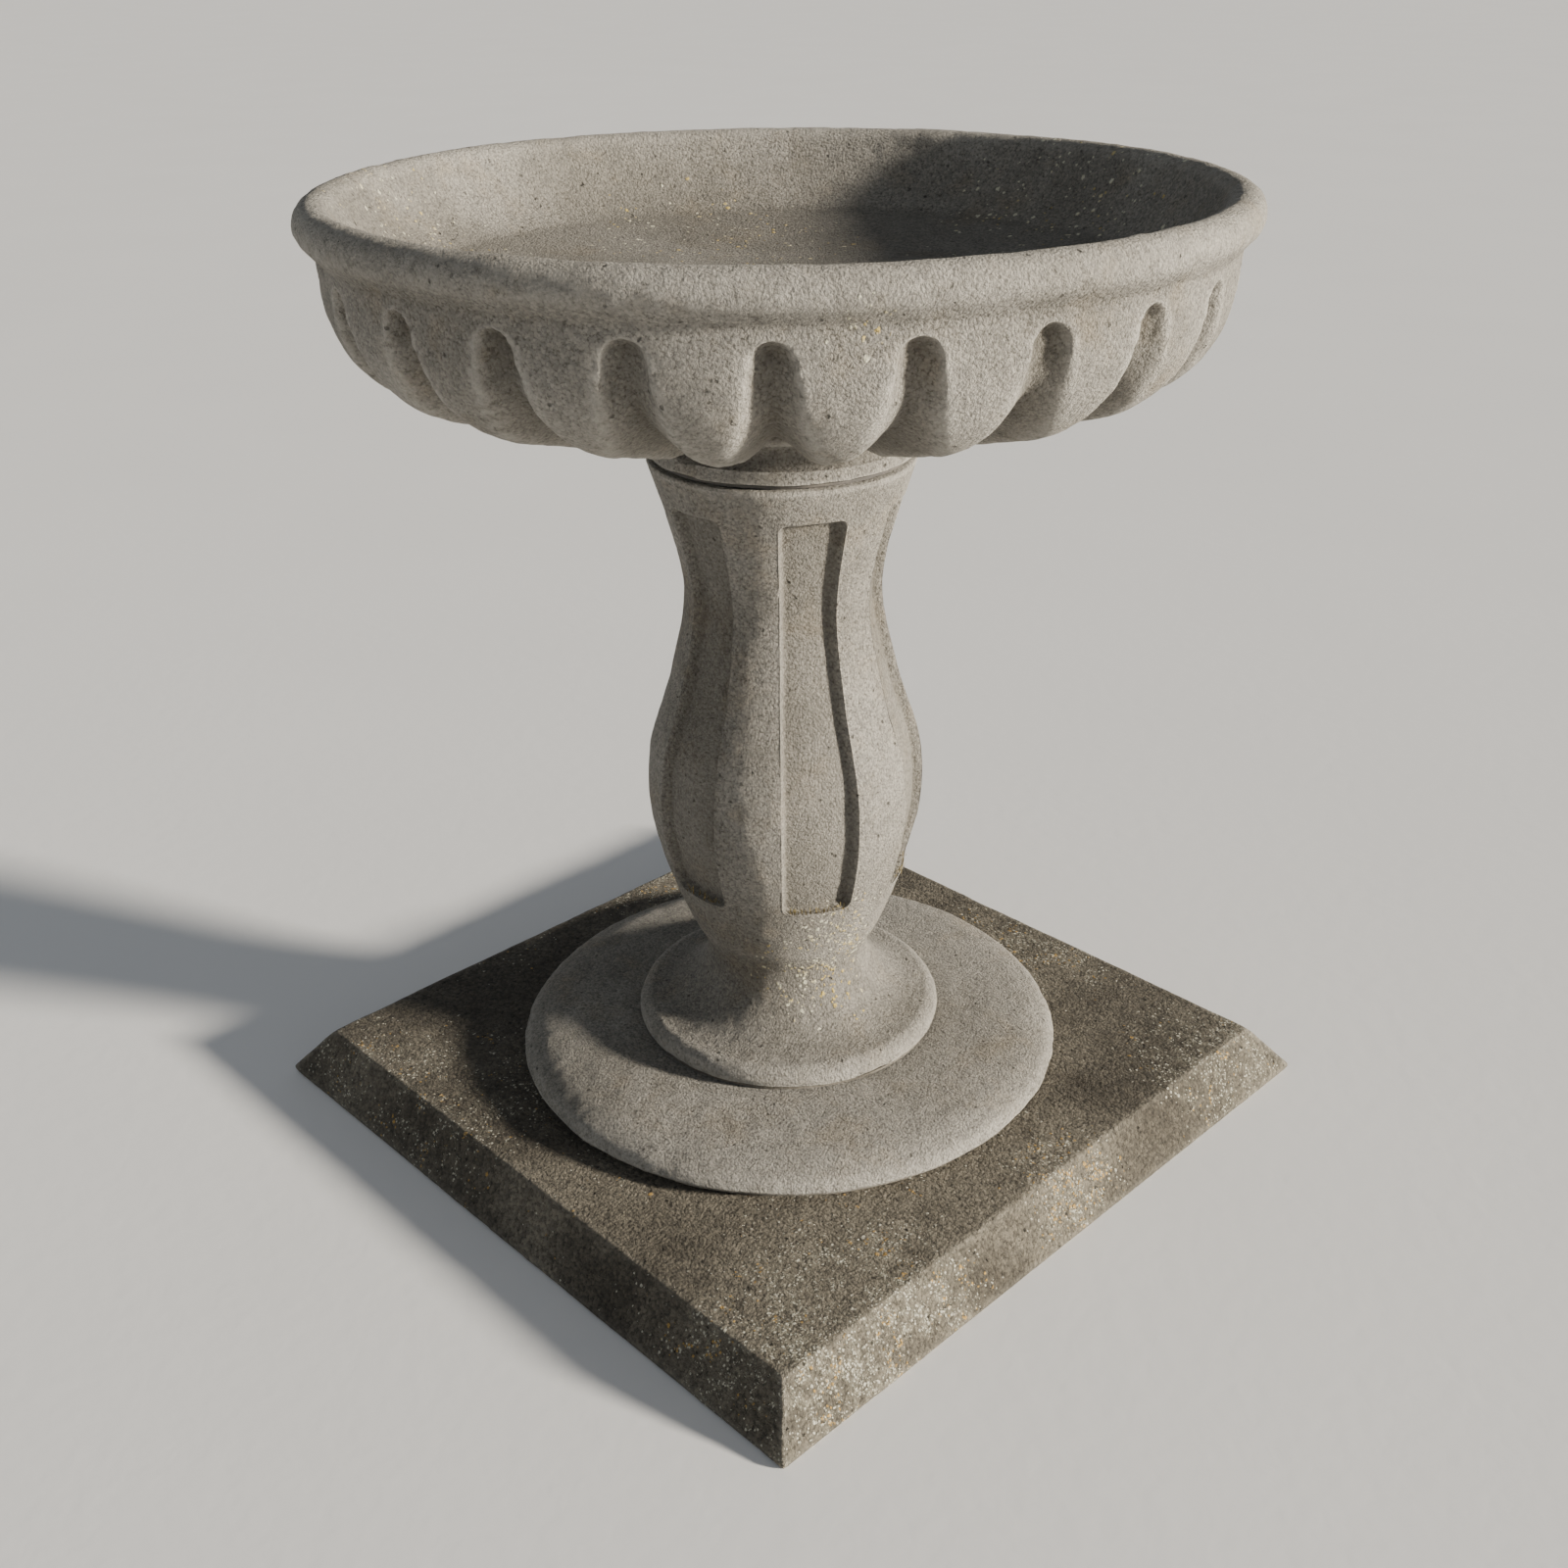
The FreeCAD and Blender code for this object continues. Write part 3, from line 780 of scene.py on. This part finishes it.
def grey_weather(paint, colour):
    """Upright streaks; recesses darkened, partly grime and partly painted shade; hollows darkened, partly
    dirt and partly painted shade; a dish floor darkened, partly damp and partly painted shade; and pale
    edges, partly wear and partly a painted highlight.
    """
    streak = paint.step(paint.noise(30, 4, 0.6, stretch=(1, 1, 0.12)), 0.5, 0.75)
    colour = paint.tint(colour, streak, 0.2, linear(88, 82, 72))
    # Recesses darker: partly grime, partly painted shade.
    grime_and_shade = paint.times(paint.vertex("recess"), paint.between(paint.noise(45, 4, 0.7), 0.5, 1.0))
    colour = paint.tint(colour, grime_and_shade, 0.42, linear(84, 79, 69))
    # Hollows darker: partly dirt, partly painted shade.
    dirt_and_shade = paint.times(paint.vertex("dirt_and_shade"), paint.between(paint.noise(60, 4, 0.7), 0.5, 1.1))
    colour = paint.tint(colour, dirt_and_shade, 0.55, linear(66, 60, 51))
    # The dish floor darker and cooler: partly damp, partly painted shade.
    damp_and_shade = paint.times(damp_and_shade_floor(paint), paint.between(paint.noise(18, 4, 0.65), 0.25, 0.75))
    colour = paint.tint(colour, damp_and_shade, 0.6, linear(88, 85, 80))
    # Edges paler: partly wear, partly a painted highlight.
    wear_and_highlight = paint.times(paint.vertex("wear_and_highlight"), paint.step(paint.noise(160, 3, 0.7), 0.25, 0.6))
    return paint.tint(colour, wear_and_highlight, 0.5, linear(186, 181, 170))


def grey_stone():
    paint = Paint("grey_cast_stone")
    height, crevice_shade, tone, hole = stone_grain(paint)
    colour = grey_weather(paint, grey_body(paint, crevice_shade, tone))
    # Painted shade in the air holes.
    colour = paint.tint(colour, hole, 0.6, linear(50, 46, 41))
    places = lichen_places(paint)
    lichen = paint.larger(flecks(paint, 260, 0.34, places, 0.5), flecks(paint, 420, 0.4, places, 0.5))
    kind = paint.step(paint.noise(34, 3, 0.6, shift=21.0), 0.46, 0.6)
    colour = paint.tint(colour, lichen, 0.88, paint.mix(kind, linear(214, 210, 186), linear(196, 172, 98)))
    height = paint.plus(height, paint.times(lichen, 0.4))
    rough = paint.between(paint.noise(70, 3, 0.6), 0.82, 0.97)
    return paint.finish(colour, rough, height, 0.0019, specular=0.25)


# --- slab stone ---------------------------------------------------------------------------------
def slab_patches():
    """Patches of crust along the slab's edges: (place, reach, strength), from half the slab's width."""
    half = SLAB_HIGH.x
    return [((half - 0.015, -0.66 * half, 0.02), 0.12, 1.0),
            ((0.84 * half, -0.78 * half, 0.04), 0.07, 0.5),
            ((half - 0.02, 0.08 * half, 0.02), 0.06, 0.8),
            ((0.93 * half, 0.76 * half, 0.03), 0.09, 0.55),
            ((0.76 * half, -half + 0.012, 0.02), 0.07, 0.5),
            ((-0.42 * half, -0.84 * half, 0.035), 0.11, 0.35),
            ((-0.9 * half, 0.3 * half, 0.03), 0.1, 0.5),
            ((0.2 * half, 0.9 * half, 0.03), 0.11, 0.45),
            ((-0.75 * half, -0.95 * half, 0.02), 0.08, 0.35),
            ((-0.6 * half, 0.8 * half, 0.035), 0.08, 0.5)]


def slab_growth(paint):
    """Where crust grows on the slab, and where it is ochre: the patches, and a thin scatter all over."""
    scatter = paint.times(paint.step(paint.noise(9, 3, 0.6), 0.5, 0.68), 0.12)
    growth = paint.larger(patches(paint, slab_patches()), scatter)
    growth = paint.times(growth, paint.step(paint.noise(38, 5, 0.8, shift=9.0), 0.42, 0.54))
    clumps = paint.step(paint.noise(130, 4, 0.75), 0.44, 0.56)
    growth = paint.times(growth, paint.between(clumps, 0.15, 1.0))
    ochre = paint.larger(paint.near((SLAB_HIGH.x - 0.02, 0.08 * SLAB_HIGH.x, 0.02), 0.07),
                         paint.step(paint.noise(40, 3, 0.6, shift=15.0), 0.48, 0.6))
    return growth, paint.times(growth, ochre)


def slab_body(paint, crevice_shade, tone):
    """The slab's stone before growth: mottled, stained, with a tone for each grain and painted shade in the
    gaps between grains.
    """
    mottle = paint.step(paint.noise(7, 5, 0.62), 0.35, 0.65)
    colour = paint.mix(mottle, linear(79, 74, 65), linear(116, 110, 98))
    stain = paint.step(paint.noise(38, 4, 0.7), 0.48, 0.7)
    colour = paint.tint(colour, stain, 0.4, linear(56, 50, 43))
    shade = paint.mix(tone, (0.6, 0.6, 0.6), (1.36, 1.34, 1.29))
    colour = paint.mix(0.85, colour, shade, "MULTIPLY")
    # Painted shade in the gaps between grains.
    return paint.tint(colour, crevice_shade, 0.65, linear(26, 23, 20))


def slab_crust(paint, colour):
    """A pale film with pale and ochre crust on it, and where that crust stands up."""
    growth, ochre = slab_growth(paint)
    film = paint.times(growth, paint.step(paint.noise(420, 5, 0.8), 0.4, 0.62))
    colour = paint.tint(colour, film, 0.65, linear(172, 167, 146))
    crust = paint.larger(flecks(paint, 620, 0.75, growth, 0.6), flecks(paint, 360, 0.35, growth, 0.5))
    colour = paint.tint(colour, crust, 0.8, linear(208, 204, 186))
    yellow = paint.larger(flecks(paint, 480, 0.6, ochre, 0.6), flecks(paint, 260, 0.3, ochre, 0.5))
    colour = paint.tint(colour, yellow, 0.75, linear(186, 150, 82))
    return colour, paint.larger(crust, yellow)


def dark_stone():
    paint = Paint("weathered_slab")
    height, crevice_shade, tone, hole = stone_grain(paint, grains=400)
    colour, crust = slab_crust(paint, slab_body(paint, crevice_shade, tone))
    # Edges paler: partly wear, partly a painted highlight.
    wear_and_highlight = paint.times(paint.vertex("wear_and_highlight"), paint.step(paint.noise(120, 3, 0.7), 0.3, 0.6))
    colour = paint.tint(colour, wear_and_highlight, 0.6, linear(150, 144, 130))
    # Hollows darker: partly dirt, partly painted shade.
    colour = paint.tint(colour, paint.vertex("dirt_and_shade"), 0.6, linear(38, 34, 29))
    # Painted shade in the air holes.
    colour = paint.tint(colour, hole, 0.7, linear(24, 22, 19))
    height = paint.plus(height, paint.times(crust, 0.4))
    rough = paint.between(paint.noise(70, 3, 0.6), 0.8, 0.97)
    return paint.finish(colour, rough, height, 0.0024, specular=0.25)


# --- the other materials ------------------------------------------------------------------------
def dry_moss():
    paint = Paint("dry_moss")
    mottle = paint.step(paint.noise(260, 3, 0.6), 0.38, 0.62)
    colour = paint.mix(mottle, linear(92, 80, 48), linear(158, 142, 92))
    base = paint.step(paint.height(), (PANEL_LOW + 3) * MM, PANEL_LOW * MM)
    colour = paint.tint(colour, base, 0.7, linear(58, 46, 28))
    rough = paint.between(paint.noise(500, 2, 0.6), 0.7, 0.95)
    return paint.finish(colour, rough, paint.noise(1500, 2, 0.6), 0.0002, specular=0.3)


def mortar():
    paint = Paint("bed_mortar")
    height, crevice_shade, _, hole = stone_grain(paint)
    mottle = paint.step(paint.noise(40, 4, 0.6), 0.35, 0.65)
    colour = paint.mix(mottle, linear(96, 91, 82), linear(130, 124, 113))
    # Painted shade in the gaps between grains.
    colour = paint.tint(colour, crevice_shade, 0.5, linear(58, 53, 47))
    sand = paint.mix(paint.noise(1100, 2, 0.7), (0.5, 0.5, 0.5), (1.0, 1.0, 1.0))
    colour = paint.mix(0.5, colour, sand, "MULTIPLY")
    # Painted shade in the air holes.
    colour = paint.tint(colour, hole, 0.7, linear(60, 55, 50))
    rough = paint.between(paint.noise(90, 3, 0.6), 0.85, 0.98)
    return paint.finish(colour, rough, height, 0.0007, specular=0.2)


def steel_bar():
    paint = Paint("bar_steel")
    rust = paint.step(paint.noise(60, 5, 0.7), 0.4, 0.62)
    colour = paint.mix(rust, linear(70, 68, 66), linear(108, 58, 32))
    pits = paint.step(paint.noise(240, 3, 0.7), 0.5, 0.75)
    colour = paint.tint(colour, pits, 0.6, linear(64, 34, 22))
    height = paint.plus(paint.noise(500, 4, 0.7), paint.times(rust, 0.5))
    metal = paint.between(rust, 0.85, 0.1)
    return paint.finish(colour, paint.between(rust, 0.5, 0.92), height, 0.0005, metallic=metal)


def stainless():
    paint = Paint("stainless_dowel")
    brushed = paint.noise(900, 3, 0.6, stretch=(1, 1, 0.03))
    colour = paint.mix(brushed, linear(158, 160, 161), linear(196, 197, 196))
    stain = paint.step(paint.noise(55, 4, 0.6), 0.56, 0.75)
    colour = paint.tint(colour, stain, 0.4, linear(118, 108, 96))
    rough = paint.plus(paint.between(brushed, 0.24, 0.42), paint.times(stain, 0.25))
    return paint.finish(colour, rough, brushed, 0.00006, metallic=1.0)


def rubber():
    paint = Paint("pad_rubber")
    dust = paint.step(paint.noise(80, 5, 0.7), 0.45, 0.7)
    colour = paint.mix(paint.between(dust, 0.3, 0.9), linear(44, 42, 40), linear(104, 98, 89))
    height = paint.plus(paint.noise(700, 3, 0.6), paint.times(dust, 0.3))
    return paint.finish(colour, paint.between(dust, 0.6, 0.9), height, 0.0002, specular=0.4)


def plastic():
    paint = Paint("bush_plastic")
    scuff = paint.step(paint.noise(120, 4, 0.7, stretch=(1, 1, 0.2)), 0.5, 0.72)
    colour = paint.mix(paint.noise(40, 3, 0.6), linear(196, 192, 180), linear(214, 211, 202))
    colour = paint.tint(colour, scuff, 0.4, linear(140, 132, 118))
    return paint.finish(colour, paint.between(scuff, 0.35, 0.6), paint.noise(600, 3, 0.6), 0.00008)


def backdrop():
    paint = Paint("studio_floor")
    colour = paint.mix(paint.noise(3, 3, 0.5), linear(224, 223, 221), linear(230, 229, 227))
    return paint.finish(colour, 0.7, paint.noise(60, 2, 0.5), 0.0002)


def dress(obj, material):
    obj.data.materials.clear()
    obj.data.materials.append(material)


# --- build and place ----------------------------------------------------------------------------
bowl = build_bowl()
column = build_column()
base = build_base()
slab = build_slab()
for piece in (bowl, column, base):
    weather(piece, SURFACE, hollow_depth=0.0035)
weather(slab, ROUGH_SURFACE, hollow_depth=0.003)

grey = grey_stone()
for piece, node, body in ((bowl, "bowl", "bowl"),
                          (column, "column", "pedestal"),
                          (base, "round_base", "pedestal")):
    dress(piece, grey)
    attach(piece, body)
    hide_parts(node)
dress(slab, dark_stone())
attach(slab, "pedestal")
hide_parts("plinth_slab")

moss = build_moss()
dress(moss, dry_moss())
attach(moss, "pedestal")

FINISHES = {
    "mortar": (mortar(), ("base_bed", "column_bed", "foot_dowel_grout", "head_dowel_grout")),
    "bar_steel": (steel_bar(), ("slab_long_bars", "slab_cross_bars", "round_base_hoop",
                                "column_bars", "column_ties", "bowl_rim_hoop", "bowl_lower_hoop",
                                "bowl_long_bars", "bowl_cross_bars")),
    "stainless": (stainless(), ("foot_dowel", "head_dowel")),
    "rubber": (rubber(), ("bowl_pad",)),
    "bush_plastic": (plastic(), ("bowl_bush",)),
}
for slot_name, (material, nodes) in FINISHES.items():
    for node in nodes:
        dress(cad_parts[node], material)


# --- floor, light and camera --------------------------------------------------------------------
def add_floor(half):
    mesh = bpy.data.meshes.new("floor")
    corners = [(-half, -half, 0), (half, -half, 0), (half, half, 0), (-half, half, 0)]
    mesh.from_pydata(corners, [], [(0, 1, 2, 3)])
    floor = add_object("floor", mesh)
    floor.data.materials.append(backdrop())


def place_light(data, place, aim, colour, energy):
    """Put a light at place and point it at aim."""
    data.energy, data.color = energy, colour
    light = add_object(data.name, data)
    light.location = place
    light.rotation_euler = (Vector(aim) - Vector(place)).to_track_quat("-Z", "Y").to_euler()


def add_key_light():
    """A low, warm, even light, soft by a few degrees."""
    data = bpy.data.lights.new("key", "SUN")
    data.angle = math.radians(6)
    place_light(data, place=(2.3, 1.25, 1.0), aim=(0, 0, 0.33), colour=(1.0, 0.93, 0.82), energy=11.5)


def add_fill_light():
    """A large, weak, cool square light on the other side."""
    data = bpy.data.lights.new("fill", "AREA")
    data.size = 2.4
    place_light(data, place=(-0.6, -2.6, 1.9), aim=(0, 0, 0.3), colour=(0.85, 0.92, 1.0), energy=6)


def add_world():
    """Soft light from all round, paler towards the horizon."""
    horizon, overhead = 0.8, 0.22
    world = bpy.data.worlds.new("studio")
    world.use_nodes = True
    tree = world.node_tree
    direction = tree.nodes.new("ShaderNodeTexCoord")
    axes = tree.nodes.new("ShaderNodeSeparateXYZ")
    fade = tree.nodes.new("ShaderNodeMapRange")
    background = tree.nodes["Background"]
    tree.links.new(direction.outputs["Generated"], axes.inputs[0])
    tree.links.new(axes.outputs[2], fade.inputs[0])
    tree.links.new(fade.outputs[0], background.inputs[1])
    for index, value in enumerate((0.0, 0.5, horizon, overhead), start=1):
        fade.inputs[index].default_value = value
    fade.interpolation_type = "SMOOTHSTEP"
    background.inputs[0].default_value = (0.86, 0.92, 1.0, 1)
    bpy.context.scene.world = world


def add_camera():
    data = bpy.data.cameras.new("camera")
    data.lens = CAMERA_LENS
    camera = add_object("camera", data)
    turn = Matrix.Rotation(math.radians(CAMERA_TURN), 4, "Z")
    turn = turn @ Matrix.Rotation(math.radians(90 - CAMERA_DOWN), 4, "X")
    turn = turn @ Matrix.Rotation(math.radians(CAMERA_ROLL), 4, "Z")
    camera.matrix_world = Matrix.Translation(CAMERA_PLACE) @ turn
    bpy.context.scene.camera = camera


add_floor(half=60)
add_key_light()
add_fill_light()
add_world()
add_camera()
